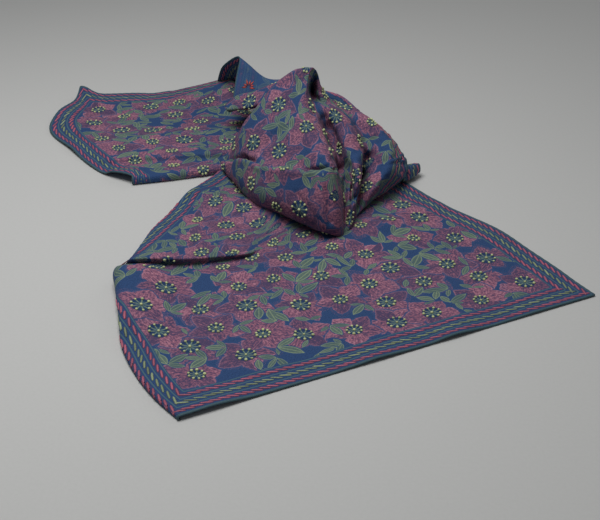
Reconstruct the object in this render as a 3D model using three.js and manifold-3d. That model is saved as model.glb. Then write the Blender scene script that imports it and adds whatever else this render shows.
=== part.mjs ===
// A kantha shawl dropped on a flat surface, in millimetres, +Z up.
// One rectangle of embroidered silk lies with its near end spread flat, its middle gathered into a
// heap of soft folds, and its far end laid out to the left behind the heap.
// X runs to the right along the surface, Y away from the near end. The origin is on the surface,
// under the middle of the shawl.

import * as THREE from "three";
import { mergeVertices } from "three/addons/utils/BufferGeometryUtils.js";
import Module from "manifold-3d";

const CLOTH_WIDTH = 560;
const CLOTH_WALL = 2;
const SEAM_GAP = 0.3;
const FAR_END_TURNED_UNDER = 96;
const FAR_EDGE_ROLL = 5;
const SINK_LENGTH = 90;
const CENTRE_X = 0.7;
const CENTRE_Y = -13.2;

const wasm = await Module();
wasm.setup();

// Interpolation through the rows of a table: a value for each place, with smooth ends.
function between(values, place) {
  const last = values.length - 1;
  const i = Math.min(Math.floor(place), last - 1);
  const t = place - i;
  const [b, c] = [values[i], values[i + 1]];
  const a = i > 0 ? values[i - 1] : b.map((x, k) => 2 * x - c[k]);
  const d = i + 2 <= last ? values[i + 2] : c.map((x, k) => 2 * x - b[k]);
  return b.map((x, k) => {
    const [m0, m1] = [(c[k] - a[k]) / 2, (d[k] - x) / 2];
    const rise = c[k] - x;
    return x + m0 * t + (3 * rise - 2 * m0 - m1) * t * t + (m0 + m1 - 2 * rise) * t * t * t;
  });
}

// The place in a rising list of numbers, as an index with a fraction.
function placeOf(list, value) {
  let i = 0;
  while (i < list.length - 2 && value > list[i + 1]) i += 1;
  return i + (value - list[i]) / (list[i + 1] - list[i]);
}

const smooth = (t) => {
  const s = Math.min(Math.max(t, 0), 1);
  return s * s * (3 - 2 * s);
};

// A turned-under edge: lies flat for `under`, turns a half circle of radius `roll`, and runs on over
// the top, sinking back to the surface. Gives how far in the cloth lies, and how high.
function turnedEdge(along, under, roll) {
  if (along < under) return [roll + under - along, 0];
  const turn = Math.PI * roll;
  if (along < under + turn) {
    const angle = (along - under) / roll;
    return [roll - roll * Math.sin(angle), roll - roll * Math.cos(angle)];
  }
  const past = along - under - turn;
  return [roll + past, 2 * roll * (1 - smooth(past / SINK_LENGTH))];
}

// How much the folds of a table raise the cloth at a place, and how far each leans forward there.
function foldsAt(folds, x, y) {
  let [up, dx, dy] = [0, 0, 0];
  for (const fold of folds) {
    const [ax, ay] = fold.from;
    const [ex, ey] = [fold.to[0] - ax, fold.to[1] - ay];
    const length = Math.hypot(ex, ey);
    const along = ((x - ax) * ex + (y - ay) * ey) / (length * length);
    const across = ((x - ax) * -ey + (y - ay) * ex) / length;
    const spread = across < 0 ? fold.front : fold.back;
    const fade = smooth((along + fold.fade) / fold.fade) * smooth((1 + fold.fade - along) / fold.fade);
    const height = fold.high[0] + (fold.high[1] - fold.high[0]) * Math.min(Math.max(along, 0), 1);
    const share = fade * Math.exp(-((across / spread) ** 2));
    up += height * share;
    dx += ((fold.lean * ey) / length) * share;
    dy -= ((fold.lean * ex) / length) * share;
  }
  return [up, dx, dy];
}

// Even steps from one number to another, the first one left out.
const steps = (from, to, count) =>
  Array.from({ length: count }, (_, i) => from + ((to - from) * (i + 1)) / count);

// The closed wall of a grid of points: the grid moved out and in by half the wall along its normals,
// with a rim round the edge. The underside stays on or above the surface that the shawl lies on.
function wallOf(grid, wall = CLOTH_WALL, floor = 0) {
  const [rows, columns] = [grid.length, grid[0].length];
  const at = (i, j) => grid[Math.min(Math.max(i, 0), rows - 1)][Math.min(Math.max(j, 0), columns - 1)];
  const position = [];
  const side = (sign) => {
    for (let i = 0; i < rows; i += 1)
      for (let j = 0; j < columns; j += 1) {
        const along = new THREE.Vector3().subVectors(at(i + 1, j), at(i - 1, j));
        const across = new THREE.Vector3().subVectors(at(i, j + 1), at(i, j - 1));
        const normal = across.cross(along).normalize();
        const p = grid[i][j].clone().addScaledVector(normal, (sign * wall) / 2);
        position.push(p.x, p.y, Math.max(p.z, floor));
      }
  };
  side(1);
  side(-1);
  const index = [];
  const far = rows * columns;
  const quad = (a, b, c, d) => index.push(a, b, c, a, c, d);
  for (let i = 0; i < rows - 1; i += 1)
    for (let j = 0; j < columns - 1; j += 1) {
      const a = i * columns + j;
      quad(a, a + columns, a + columns + 1, a + 1);
      quad(far + a, far + a + 1, far + a + columns + 1, far + a + columns);
    }
  const rim = [];
  for (let j = 0; j < columns - 1; j += 1) rim.push(j);
  for (let i = 0; i < rows - 1; i += 1) rim.push(i * columns + columns - 1);
  for (let j = columns - 1; j > 0; j -= 1) rim.push((rows - 1) * columns + j);
  for (let i = rows - 1; i > 0; i -= 1) rim.push(i * columns);
  rim.forEach((a, k) => {
    const b = rim[(k + 1) % rim.length];
    quad(a, b, far + b, far + a);
  });
  const geometry = new THREE.BufferGeometry();
  geometry.setAttribute("position", new THREE.Float32BufferAttribute(position, 3));
  geometry.setIndex(index);
  return geometry;
}

// The grid with its edges moved out, so that what is cut back from it clears its rim too.
function grown(grid, by) {
  const away = (p, q) => p.clone().add(new THREE.Vector3().subVectors(p, q).setLength(by));
  const wide = grid.map((row) => [away(row[0], row[1]), ...row.slice(1, -1), away(row.at(-1), row.at(-2))]);
  const first = wide[0].map((p, j) => away(p, wide[1][j]));
  const last = wide.at(-1).map((p, j) => away(p, wide.at(-2)[j]));
  return [first, ...wide.slice(1, -1), last];
}

// A closed geometry as a solid that can be cut, turned right side out if it came inside out.
function solidOf(geometry) {
  const merged = mergeVertices(geometry, 1e-4);
  const triVerts = new Uint32Array(merged.index.array);
  const vertProperties = merged.attributes.position.array;
  const make = () => new wasm.Manifold(new wasm.Mesh({ numProp: 3, vertProperties, triVerts }));
  const solid = make();
  if (solid.volume() > 0) return solid;
  for (let i = 0; i < triVerts.length; i += 3)
    [triVerts[i + 1], triVerts[i + 2]] = [triVerts[i + 2], triVerts[i + 1]];
  return make();
}

function geometryOf(solid) {
  const mesh = solid.getMesh();
  const geometry = new THREE.BufferGeometry();
  geometry.setAttribute("position", new THREE.BufferAttribute(mesh.vertProperties, 3));
  geometry.setIndex(new THREE.BufferAttribute(mesh.triVerts, 1));
  return geometry;
}

// The largest of the pieces that a cut leaves.
const largest = (solid) => solid.decompose().sort((a, b) => b.volume() - a.volume())[0];

// The near end lies spread on the surface. Each row is one section across the shawl, at even steps
// from the near hem: where its left and right edges lie, and how its left edge is turned under.
const NEAR_SECTIONS = [
  { left: [-106, -458], right: [398, -220], under: 0, roll: 2 },
  { left: [-135, -424], right: [381, -190], under: 0, roll: 2 },
  { left: [-160, -385], right: [360, -153], under: 0, roll: 2 },
  { left: [-183, -335], right: [334, -108], under: 0, roll: 2 },
  { left: [-194, -283], right: [310, -67], under: 0, roll: 2 },
  { left: [-207, -224], right: [288, -40], under: 0, roll: 3 },
  { left: [-214, -188], right: [275, -27], under: 4, roll: 9 },
  { left: [-201, -150], right: [262, -13], under: 12, roll: 11 },
  { left: [-184, -74], right: [232, 17], under: 3, roll: 9 },
  { left: [-167, -26], right: [208, 50], under: 0, roll: 5 },
  { left: [-132, 55], right: [172, 108], under: 0, roll: 2 },
  { left: [-91, 130], right: [140, 165], under: 0, roll: 2 },
];

// The folds that rise out of the near end: the line of each crest, its height at both ends, how far
// it spreads in front and behind, how far its crest leans forward, and how softly it ends.
const NEAR_FOLDS = [
  {
    fold: "roll behind the crease", from: [-235, -162], to: [62, -72], high: [12, 7],
    front: 9, back: 60, lean: 13, fade: 0.15,
  },
  {
    fold: "swell in front of the crease", from: [-225, -195], to: [-60, -150], high: [8, 0],
    front: 40, back: 16, lean: 0, fade: 0.5,
  },
  {
    fold: "pull from the gather to the left", from: [-20, -10], to: [-130, 30], high: [12, 8],
    front: 30, back: 30, lean: 0, fade: 0.5,
  },
  {
    fold: "pull from the gather to the front", from: [70, -110], to: [45, -230], high: [6, 0],
    front: 14, back: 20, lean: 0, fade: 0.3,
  },
  {
    fold: "pull from the gather to the right", from: [100, -80], to: [215, 5], high: [7, 3],
    front: 16, back: 24, lean: 0, fade: 0.3,
  },
];

// Sections are closer together across the crease, and points are closer together in the band along
// the left edge that turns under.
function nearEndGrid() {
  const [creaseStarts, creaseEnds, last] = [5, 8, NEAR_SECTIONS.length - 1];
  const turnedBand = 64;
  const values = NEAR_SECTIONS.map((row) => [...row.left, ...row.right, row.under, row.roll]);
  const fromHem = [
    0,
    ...steps(0, creaseStarts, 7),
    ...steps(creaseStarts, creaseEnds, 19),
    ...steps(creaseEnds, last, 6),
  ];
  const fromLeft = [0, ...steps(0, turnedBand, 8), ...steps(turnedBand, CLOTH_WIDTH, 19)];
  return fromHem.map((s) => {
    const [lx, ly, rx, ry, under, roll] = between(values, s);
    const span = Math.hypot(rx - lx, ry - ly);
    const [overTop] = turnedEdge(CLOTH_WIDTH, under, roll);
    return fromLeft.map((v) => {
      const [far, lift] = turnedEdge(v, under, roll);
      const share = (far / overTop) * (1 - (roll / span) * smooth(1 - v / turnedBand));
      const [x, y] = [lx + (rx - lx) * share, ly + (ry - ly) * share];
      const onTop = smooth((v - under) / Math.max(Math.PI * roll, 1));
      const [up, dx, dy] = foldsAt(NEAR_FOLDS, x, y);
      return new THREE.Vector3(x + dx * onTop, y + dy * onTop, CLOTH_WALL / 2 + lift + up * onTop);
    });
  });
}

// The far end lies behind the heap, laid out to the left. Each row is one strand along the shawl:
// how far it is from the back hem, and where it lies at the end hem, half way and at the heap.
const FAR_STRANDS = [
  { from_hem: 0, end: [-368, 423], half: [-235, 428], heap: [-112, 410] },
  { from_hem: 139, end: [-396, 287], half: [-250, 322], heap: [-72, 345] },
  { from_hem: 244, end: [-342, 197], half: [-225, 240], heap: [-58, 262] },
  { from_hem: 338, end: [-285, 122], half: [-200, 160], heap: [-74, 186] },
  { from_hem: 405, end: [-228, 84], half: [-170, 98], heap: [-96, 120] },
];

const FAR_FOLDS = [
  {
    fold: "roll along the front", from: [-270, 165], to: [-60, 170], high: [6, 16],
    front: 12, back: 45, lean: 10, fade: 0.25,
  },
  {
    fold: "soft ridge behind it", from: [-300, 205], to: [-60, 262], high: [4, 14],
    front: 22, back: 40, lean: 4, fade: 0.3,
  },
  {
    fold: "rise to the heap at the back", from: [-200, 430], to: [-90, 400], high: [6, 40],
    front: 60, back: 60, lean: 0, fade: 0.4,
  },
  {
    fold: "lifted corner", from: [-372, 436], to: [-345, 400], high: [22, 4],
    front: 16, back: 16, lean: 0, fade: 0.7,
  },
  {
    fold: "swell along the end", from: [-375, 330], to: [-330, 220], high: [7, 3],
    front: 26, back: 26, lean: 0, fade: 0.6,
  },
  {
    fold: "lifted end hem", from: [-262, 104], to: [-228, 100], high: [5, 5],
    front: 14, back: 22, lean: 0, fade: 0.5,
  },
];

// The front edge rises a little, turns a half circle and runs back under the far end.
function farEndGrid() {
  const froms = FAR_STRANDS.map((row) => row.from_hem);
  const values = FAR_STRANDS.map((row) => [...row.end, ...row.half, ...row.heap]);
  const front = froms.at(-1);
  const roll = FAR_EDGE_ROLL;
  const rising = 70;
  const fromHem = [
    0,
    ...steps(0, front - 4 * roll, 19),
    ...steps(front - 4 * roll, front + 5 * roll, 8),
    ...steps(front + 5 * roll, front + FAR_END_TURNED_UNDER, 3),
  ];
  const along = [0, ...steps(0, 0.12, 3), ...steps(0.12, 1, 15)];
  return along.map((t) =>
    fromHem.map((w) => {
      const onTop = Math.min(w, front);
      const strand = between(values, placeOf(froms, onTop));
      const [x, y] = between([strand.slice(0, 2), strand.slice(2, 4), strand.slice(4, 6)], 2 * t);
      const [up, dx, dy] = foldsAt(FAR_FOLDS, x, y);
      if (w <= front) {
        const rise = 2 * roll * smooth((w - front + rising) / rising);
        return new THREE.Vector3(x + dx, y + dy, CLOTH_WALL / 2 + up + rise);
      }
      const past = w - front;
      const turn = Math.PI * roll;
      const angle = Math.min(past, turn) / roll;
      const back = Math.max(past - turn, 0);
      const high = roll + roll * Math.cos(angle) + up * (1 - angle / Math.PI);
      return new THREE.Vector3(x + dx, y + dy - roll * Math.sin(angle) + back, CLOTH_WALL / 2 + high);
    }),
  );
}

// The gathered middle as it shows from the front. Each row is one fold that runs up the heap: where
// it is tucked under, its foot, its belly, the roll across the belly with the crease above it, and on
// up to the crown and down behind. The rows go from the left side round to the right hem.
const GATHER_COLUMNS = [
  "tuck", "foot", "belly", "roll", "crease", "waist", "slope", "neck", "hood", "crown", "fall", "behind",
];
const GATHER_FOLDS = [
  {
    fold: "back of the left side", tuck: [-58, 200, 3.3], foot: [-64, 198, 10], belly: [-62, 200, 20],
    roll: [-58, 202, 30], crease: [-54, 202, 36], waist: [-40, 200, 60], slope: [-20, 194, 84],
    neck: [4, 192, 106], hood: [14, 194, 118], crown: [26, 196, 124],
    fall: [34, 208, 100], behind: [38, 222, 66],
  },
  {
    fold: "left side, behind", tuck: [-80, 154, 3.3], foot: [-86, 152, 9], belly: [-86, 150, 17],
    roll: [-84, 150, 24], crease: [-79, 150, 28], waist: [-58, 146, 58], slope: [-34, 146, 88],
    neck: [-6, 152, 118], hood: [8, 156, 134], crown: [24, 160, 146],
    fall: [32, 186, 112], behind: [38, 222, 68],
  },
  {
    fold: "left side", tuck: [-88, 140, 3.3], foot: [-95, 130, 7], belly: [-97, 127, 14],
    roll: [-94, 126, 21], crease: [-86, 127, 25], waist: [-64, 114, 76], slope: [-43, 118, 107],
    neck: [-16, 130, 138], hood: [2, 134, 153], crown: [22, 137, 162],
    fall: [32, 168, 128], behind: [40, 214, 70],
  },
  {
    fold: "left front", tuck: [-44, 45, 3.3], foot: [-46, 12, 11], belly: [-47, 2, 38],
    roll: [-46, 24, 66], crease: [-46, 42, 62], waist: [-41, 56, 76], slope: [-27, 84, 104],
    neck: [-3, 110, 135], hood: [11, 122, 150], crown: [26, 130, 166],
    fall: [36, 160, 130], behind: [43, 210, 72],
  },
  {
    fold: "left belly", tuck: [-16, 14, 3.3], foot: [-15, -18, 11], belly: [-14, -34, 40],
    roll: [-10, -14, 77], crease: [-9, 8, 70], waist: [-7, 26, 81], slope: [-3, 62, 107],
    neck: [10, 100, 135], hood: [19, 115, 151], crown: [29, 127, 168],
    fall: [39, 157, 131], behind: [46, 208, 72],
  },
  {
    fold: "belly", tuck: [18, -8, 3.3], foot: [20, -52, 16], belly: [21, -66, 42],
    roll: [24, -44, 85], crease: [25, -16, 75], waist: [24, 2, 87], slope: [21, 46, 113],
    neck: [24, 88, 137], hood: [28, 108, 153], crown: [34, 125, 170],
    fall: [43, 155, 132], behind: [50, 208, 72],
  },
  {
    fold: "right front", tuck: [52, -34, 3.3], foot: [54, -78, 12], belly: [55, -86, 40],
    roll: [52, -62, 91], crease: [53, -36, 82], waist: [50, -18, 97], slope: [39, 30, 114],
    neck: [32, 76, 133], hood: [34, 100, 151], crown: [39, 122, 171],
    fall: [47, 152, 133], behind: [54, 206, 72],
  },
  {
    fold: "front edge", tuck: [72, -54, 3.3], foot: [77, -84, 9], belly: [79, -80, 38],
    roll: [71, -46, 88], crease: [70, -22, 85], waist: [65, 0, 96], slope: [55, 44, 105],
    neck: [45, 84, 122], hood: [36, 106, 145], crown: [45, 124, 170],
    fall: [52, 150, 134], behind: [58, 205, 72],
  },
  {
    fold: "first valley", tuck: [84, -50, 3.3], foot: [87, -72, 5], belly: [88, -42, 16],
    roll: [87, 8, 30], crease: [86, 36, 40], waist: [78, 62, 60], slope: [64, 80, 88],
    neck: [49, 98, 121], hood: [42, 156, 120], crown: [50, 134, 158],
    fall: [56, 156, 126], behind: [62, 204, 71],
  },
  {
    fold: "middle fold", tuck: [92, -44, 3.3], foot: [93, -66, 8], belly: [95, -50, 32],
    roll: [94, -22, 56], crease: [93, -2, 62], waist: [90, 30, 74], slope: [82, 66, 95],
    neck: [68, 102, 115], hood: [56, 118, 123], crown: [55, 136, 140],
    fall: [60, 160, 112], behind: [67, 204, 68],
  },
  {
    fold: "middle fold, right", tuck: [98, -30, 3.3], foot: [99, -50, 8], belly: [102, -24, 26],
    roll: [107, 2, 44], crease: [108, 16, 53], waist: [109, 44, 70], slope: [103, 76, 91],
    neck: [86, 108, 108], hood: [72, 130, 113], crown: [66, 150, 114],
    fall: [68, 172, 94], behind: [75, 205, 60],
  },
  {
    fold: "second valley", tuck: [104, -14, 3.3], foot: [104, -28, 5], belly: [108, 4, 13],
    roll: [116, 32, 24], crease: [119, 46, 34], waist: [124, 68, 52], slope: [123, 96, 70],
    neck: [103, 124, 91], hood: [90, 146, 96], crown: [84, 164, 96],
    fall: [84, 184, 80], behind: [84, 198, 54],
  },
  {
    fold: "right fold", tuck: [120, 16, 3.3], foot: [117, -2, 8], belly: [130, 8, 25],
    roll: [146, 22, 45], crease: [153, 34, 54], waist: [157, 56, 66], slope: [152, 86, 76],
    neck: [130, 122, 89], hood: [116, 146, 92], crown: [106, 166, 90],
    fall: [102, 186, 72], behind: [100, 200, 48],
  },
  {
    fold: "right hem", tuck: [150, 60, 3.3], foot: [143, 34, 10], belly: [168, 56, 15],
    roll: [185, 76, 25], crease: [184, 88, 36], waist: [176, 100, 49], slope: [159, 117, 67],
    neck: [136, 139, 79], hood: [122, 158, 80], crown: [114, 172, 78],
    fall: [110, 190, 62], behind: [108, 204, 42],
  },
];

// The small loop of the right hem that sticks out from under the gathered middle.
const LOOP_COLUMNS = ["under", "front", "top", "back"];
const HEM_LOOP = [
  { at: "inside", under: [172, 96, 3.3], front: [180, 76, 9], top: [180, 86, 24], back: [172, 100, 18] },
  { at: "bend", under: [190, 104, 3.3], front: [197, 92, 8], top: [197, 98, 25], back: [188, 112, 18] },
  { at: "tip", under: [203, 114, 5], front: [208, 106, 10], top: [207, 111, 20], back: [200, 120, 14] },
];

// The fold that comes out to the left behind the gathered middle, over a dark hollow.
const SIDE_COLUMNS = ["behind", "shoulder", "crest", "lip", "under"];
const SIDE_FOLD = [
  {
    at: "closed end", behind: [-90, 282, 38], shoulder: [-95, 274, 47],
    crest: [-96, 260, 54], lip: [-94, 242, 53], under: [-90, 252, 44],
  },
  {
    at: "bulge", behind: [-78, 288, 46], shoulder: [-78, 275, 60],
    crest: [-76, 258, 70], lip: [-72, 232, 60], under: [-69, 246, 52],
  },
  {
    at: "above the hollow", behind: [-54, 284, 52], shoulder: [-53, 269, 68],
    crest: [-50, 250, 79], lip: [-52, 222, 68], under: [-48, 238, 59],
  },
  {
    at: "beside the front", behind: [-26, 278, 56], shoulder: [-25, 262, 80],
    crest: [-22, 243, 95], lip: [-24, 213, 84], under: [-22, 229, 72],
  },
  {
    at: "behind the front", behind: [2, 266, 58], shoulder: [3, 249, 86],
    crest: [4, 231, 104], lip: [2, 205, 93], under: [3, 219, 80],
  },
  {
    at: "inner end", behind: [28, 248, 58], shoulder: [29, 233, 80],
    crest: [30, 218, 94], lip: [28, 200, 86], under: [28, 209, 74],
  },
];

// The back of the heap, as a tent of cloth. Each row is one section: from inside, up the near wall to
// the ridge, down the far wall, and out along the surface. Its left end is an open peak.
const BACK_COLUMNS = ["inside", "near", "ridge", "far", "foot", "hem"];
const BACK_FOLDS = [
  {
    at: "opening of the peak", inside: [-88, 290, 40], near: [-81, 317, 77], ridge: [-77, 341, 105],
    far: [-106, 373, 77], foot: [-118, 399, 43], hem: [-120, 414, 26],
  },
  {
    at: "peak", inside: [-68, 288, 46], near: [-64, 311, 78], ridge: [-58, 330, 93],
    far: [-68, 370, 64], foot: [-80, 410, 24], hem: [-86, 430, 3],
  },
  {
    at: "shoulder", inside: [-40, 282, 48], near: [-38, 298, 67], ridge: [-33, 316, 78],
    far: [-30, 348, 52], foot: [-28, 380, 12], hem: [-28, 392, 3],
  },
  {
    at: "saddle", inside: [-12, 276, 50], near: [-12, 291, 68], ridge: [-9, 306, 77],
    far: [2, 350, 56], foot: [10, 394, 18], hem: [12, 414, 3],
  },
  {
    at: "behind the crown", inside: [20, 258, 52], near: [21, 272, 70], ridge: [24, 287, 80],
    far: [30, 314, 48], foot: [34, 338, 10], hem: [36, 350, 3],
  },
  {
    at: "back hem, left", inside: [60, 242, 52], near: [61, 252, 66], ridge: [62, 263, 77],
    far: [74, 296, 50], foot: [86, 322, 15], hem: [92, 336, 3],
  },
  {
    at: "back hem, middle", inside: [88, 228, 48], near: [91, 237, 61], ridge: [95, 247, 72],
    far: [106, 264, 40], foot: [114, 278, 9], hem: [118, 288, 3],
  },
  {
    at: "back hem, right", inside: [112, 206, 42], near: [117, 211, 50], ridge: [122, 218, 57],
    far: [136, 230, 36], foot: [150, 240, 11], hem: [157, 246, 3],
  },
  {
    at: "right end", inside: [134, 182, 26], near: [140, 183, 31], ridge: [146, 187, 34],
    far: [158, 190, 18], foot: [167, 192, 6], hem: [172, 194, 3],
  },
];

// A patch of cloth through the rows of a table, with so many steps between rows and between columns.
function patch(table, columns, acrossSteps, alongSteps) {
  const rails = table.map((row) => columns.map((name) => row[name]));
  const along = [0, ...steps(0, columns.length - 1, alongSteps)];
  const across = [0, ...steps(0, table.length - 1, acrossSteps)];
  return along.map((t) => {
    const section = rails.map((rail) => between(rail, t));
    return across.map((s) => new THREE.Vector3(...between(section, s)));
  });
}

// The layers inside the heap, as one rounded stack: an oval that narrows as it goes up, with a notch
// round its edge between each layer and the next.
const STACK = { centre: [18, 162], half_width: 86, half_depth: 160, layers: 4, high: 58, notch: 0.05 };

function stackGeometry(around = 36, perLayer = 4) {
  const levels = STACK.layers * perLayer;
  const position = [0, 0, 0, 0, 0, STACK.high + 2];
  for (let i = 0; i <= levels; i += 1) {
    const up = i / levels;
    const swell = 1 - STACK.notch * (1 - Math.abs(Math.sin(Math.PI * STACK.layers * up)));
    const size = swell * (1 - 0.45 * up ** 2);
    for (let k = 0; k < around; k += 1) {
      const angle = (2 * Math.PI * k) / around;
      const [x, y] = [STACK.half_width * Math.cos(angle), STACK.half_depth * Math.sin(angle)];
      position.push(size * x, size * y, up * STACK.high);
    }
  }
  const index = [];
  const ring = (i, k) => 2 + i * around + (k % around);
  for (let k = 0; k < around; k += 1) {
    index.push(0, ring(0, k + 1), ring(0, k));
    for (let i = 0; i < levels; i += 1) {
      index.push(ring(i, k), ring(i, k + 1), ring(i + 1, k + 1));
      index.push(ring(i, k), ring(i + 1, k + 1), ring(i + 1, k));
    }
    index.push(1, ring(levels, k), ring(levels, k + 1));
  }
  const geometry = new THREE.BufferGeometry();
  geometry.setAttribute("position", new THREE.Float32BufferAttribute(position, 3));
  geometry.setIndex(index);
  geometry.translate(STACK.centre[0], STACK.centre[1], CLOTH_WALL + SEAM_GAP);
  return geometry;
}

function named(name, geometry, colour) {
  const material = new THREE.MeshStandardMaterial({ color: colour, roughness: 0.85, metalness: 0 });
  const mesh = new THREE.Mesh(geometry, material);
  mesh.name = name;
  return mesh;
}

// Each stretch is cut back from those laid before it, so that a seam gap stays between them.
const stretches = [
  ["near_end", nearEndGrid()],
  ["gathered_front", patch(GATHER_FOLDS, GATHER_COLUMNS, 36, 30)],
  ["hem_loop", patch(HEM_LOOP, LOOP_COLUMNS, 8, 9)],
  ["far_end", farEndGrid()],
  ["side_fold", patch(SIDE_FOLD, SIDE_COLUMNS, 20, 14)],
  ["back_folds", patch(BACK_FOLDS, BACK_COLUMNS, 28, 18)],
];
const shawl = new THREE.Group();
shawl.position.set(-CENTRE_X, -CENTRE_Y, 0);
const laid = [];
for (const [name, grid] of stretches) {
  let solid = solidOf(wallOf(grid));
  for (const cleared of laid) solid = solid.subtract(cleared);
  laid.push(solidOf(wallOf(grown(grid, 2 * SEAM_GAP), CLOTH_WALL + 2 * SEAM_GAP, -1)));
  shawl.add(named(name, geometryOf(largest(solid)), "#7d4a66"));
}
let stack = solidOf(stackGeometry());
for (const cleared of laid) stack = stack.subtract(cleared);
shawl.add(named("inner_layers", geometryOf(largest(stack)), "#4a3550"));

export default shawl;
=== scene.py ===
"""A kantha shawl dropped on a surface: its near end spread flat, its middle in a heap, its far end behind.

The tables are in millimetres, measured from a point below the heap's front. Each mesh is moved to the
frame's middle and made metres as it is written. A place on the flat cloth is (u, v): u from the left long
hem, v from the near hem.
"""

import math

import bpy
import numpy as np
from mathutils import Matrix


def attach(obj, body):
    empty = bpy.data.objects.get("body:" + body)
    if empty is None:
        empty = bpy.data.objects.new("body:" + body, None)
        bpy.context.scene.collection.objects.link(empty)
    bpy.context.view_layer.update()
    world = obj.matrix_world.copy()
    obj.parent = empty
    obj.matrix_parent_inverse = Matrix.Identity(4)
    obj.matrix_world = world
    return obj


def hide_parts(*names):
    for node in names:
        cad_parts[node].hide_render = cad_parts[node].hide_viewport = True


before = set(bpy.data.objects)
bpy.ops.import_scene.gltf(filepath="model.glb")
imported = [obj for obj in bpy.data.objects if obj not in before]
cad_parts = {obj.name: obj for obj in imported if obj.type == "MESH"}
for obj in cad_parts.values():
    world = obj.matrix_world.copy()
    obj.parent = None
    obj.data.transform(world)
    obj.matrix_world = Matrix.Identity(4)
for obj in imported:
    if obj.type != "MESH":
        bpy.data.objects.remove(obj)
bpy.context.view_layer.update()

# The photographer's set: a plain pale floor under a large soft lamp, a weaker one behind on the right, and
# an even grey sky. The camera looks 32 degrees down from beyond the near end.
camera = bpy.data.objects.new("camera", bpy.data.cameras.new("camera"))
camera.data.sensor_width = 36
camera.data.lens = 61.62
camera.location = (0.0243, -1.2868, 0.729)
camera.rotation_euler = (math.radians(58), 0, 0)
bpy.context.scene.collection.objects.link(camera)
bpy.context.scene.camera = camera
bpy.context.scene.view_settings.view_transform = "Standard"


def soft_lamp(name, place, aim, size, watts):
    """A square lamp at a place, turned so that it shines at another place."""
    lamp = bpy.data.objects.new(name, bpy.data.lights.new(name, "AREA"))
    lamp.data.size = size
    lamp.data.energy = watts
    lamp.location = place
    toward = np.subtract(aim, place)
    flat = math.hypot(toward[0], toward[1])
    turn = math.atan2(toward[1], toward[0]) - math.pi / 2
    lamp.rotation_euler = (math.atan2(flat, -toward[2]), 0, turn)
    bpy.context.scene.collection.objects.link(lamp)


soft_lamp("lamp_above", (-0.3, -0.1, 1.5), (-0.3, -0.18, 0), 0.9, 16.8)
soft_lamp("lamp_behind", (1.2, 1.3, 1.2), (0, 0, 0.1), 0.8, 2)
sky = bpy.data.worlds.new("sky")
bpy.context.scene.world = sky
sky.use_nodes = True
sky.node_tree.nodes["Background"].inputs["Color"].default_value = (0.93, 0.96, 1, 1)
sky.node_tree.nodes["Background"].inputs["Strength"].default_value = 0.13


class Shade:
    """One output of a shader node. Operators on it add Math nodes to its material, so that a pattern reads
    as a sum."""

    def __init__(self, tree, socket=None):
        self.tree = tree
        self.socket = socket

    def node(self, kind, settings, sockets, output=0):
        """A new node of a kind, with its settings made first, then the values or links of its sockets."""
        made = self.tree.nodes.new(kind)
        for name, value in settings.items():
            setattr(made, name, value)
        for name, value in sockets.items():
            if isinstance(value, Shade):
                self.tree.links.new(value.socket, made.inputs[name])
            else:
                made.inputs[name].default_value = value
        return Shade(self.tree, made.outputs[output])

    def math(self, operation, *values):
        return self.node("ShaderNodeMath", {"operation": operation}, dict(enumerate(values)))

    def taken(self, operation):
        """This number through an operation that needs no other, such as FLOOR or SINE."""
        return self.math(operation, self)

    def __add__(self, other):
        return self.math("ADD", self, other)

    def __sub__(self, other):
        return self.math("SUBTRACT", self, other)

    def __rsub__(self, other):
        return self.math("SUBTRACT", other, self)

    def __mul__(self, other):
        return self.math("MULTIPLY", self, other)

    def __truediv__(self, other):
        return self.math("DIVIDE", self, other)

    def __pow__(self, other):
        return self.math("POWER", self, other)

    __radd__ = __add__
    __rmul__ = __mul__

    def past(self, limit, softness):
        """0 below a limit and 1 above it, with a straight ramp of the softness across it."""
        made = self.math("DIVIDE", self - limit, softness) + 0.5
        made.socket.node.use_clamp = True
        return made

    def near(self, line, reach, softness):
        """1 within a reach of a line and 0 past it, with a straight ramp of the softness across it."""
        return 1 - (self - line).taken("ABSOLUTE").past(reach, softness)

    def colour(self, below, above):
        """A colour that goes from below to above as this goes from 0 to 1."""
        return self.node("ShaderNodeMix", {"data_type": "RGBA"}, {0: self, 6: below, 7: above}, 2)

    def speckle(self, where, fineness, detail=2):
        """Fine noise from 0 to 1 on the places of a vector."""
        return self.node("ShaderNodeTexNoise", {}, {"Vector": where, "Scale": fineness, "Detail": detail})

    def parts(self):
        """The three numbers of this vector."""
        x = self.node("ShaderNodeSeparateXYZ", {}, {0: self})
        return [Shade(self.tree, output) for output in x.socket.node.outputs]

    def carried(self, label, output):
        """What the mesh carries under a label: output 0 gives a colour, 1 a vector and 2 a number."""
        return self.node("ShaderNodeAttribute", {"attribute_name": label}, {}, output)

    def into(self, shader, socket):
        """This feeds a socket of the shader."""
        self.tree.links.new(self.socket, shader.inputs[socket])

    def raises(self, shader, strength, distance):
        """This is the height of a bump on the shader."""
        sockets = {"Strength": strength, "Distance": distance, "Height": self}
        self.node("ShaderNodeBump", {}, sockets).into(shader, "Normal")


def new_finish(name):
    """A new material, the start of its nodes, and its Principled shader."""
    material = bpy.data.materials.new(name)
    material.use_nodes = True
    return material, Shade(material.node_tree), material.node_tree.nodes["Principled BSDF"]


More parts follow.
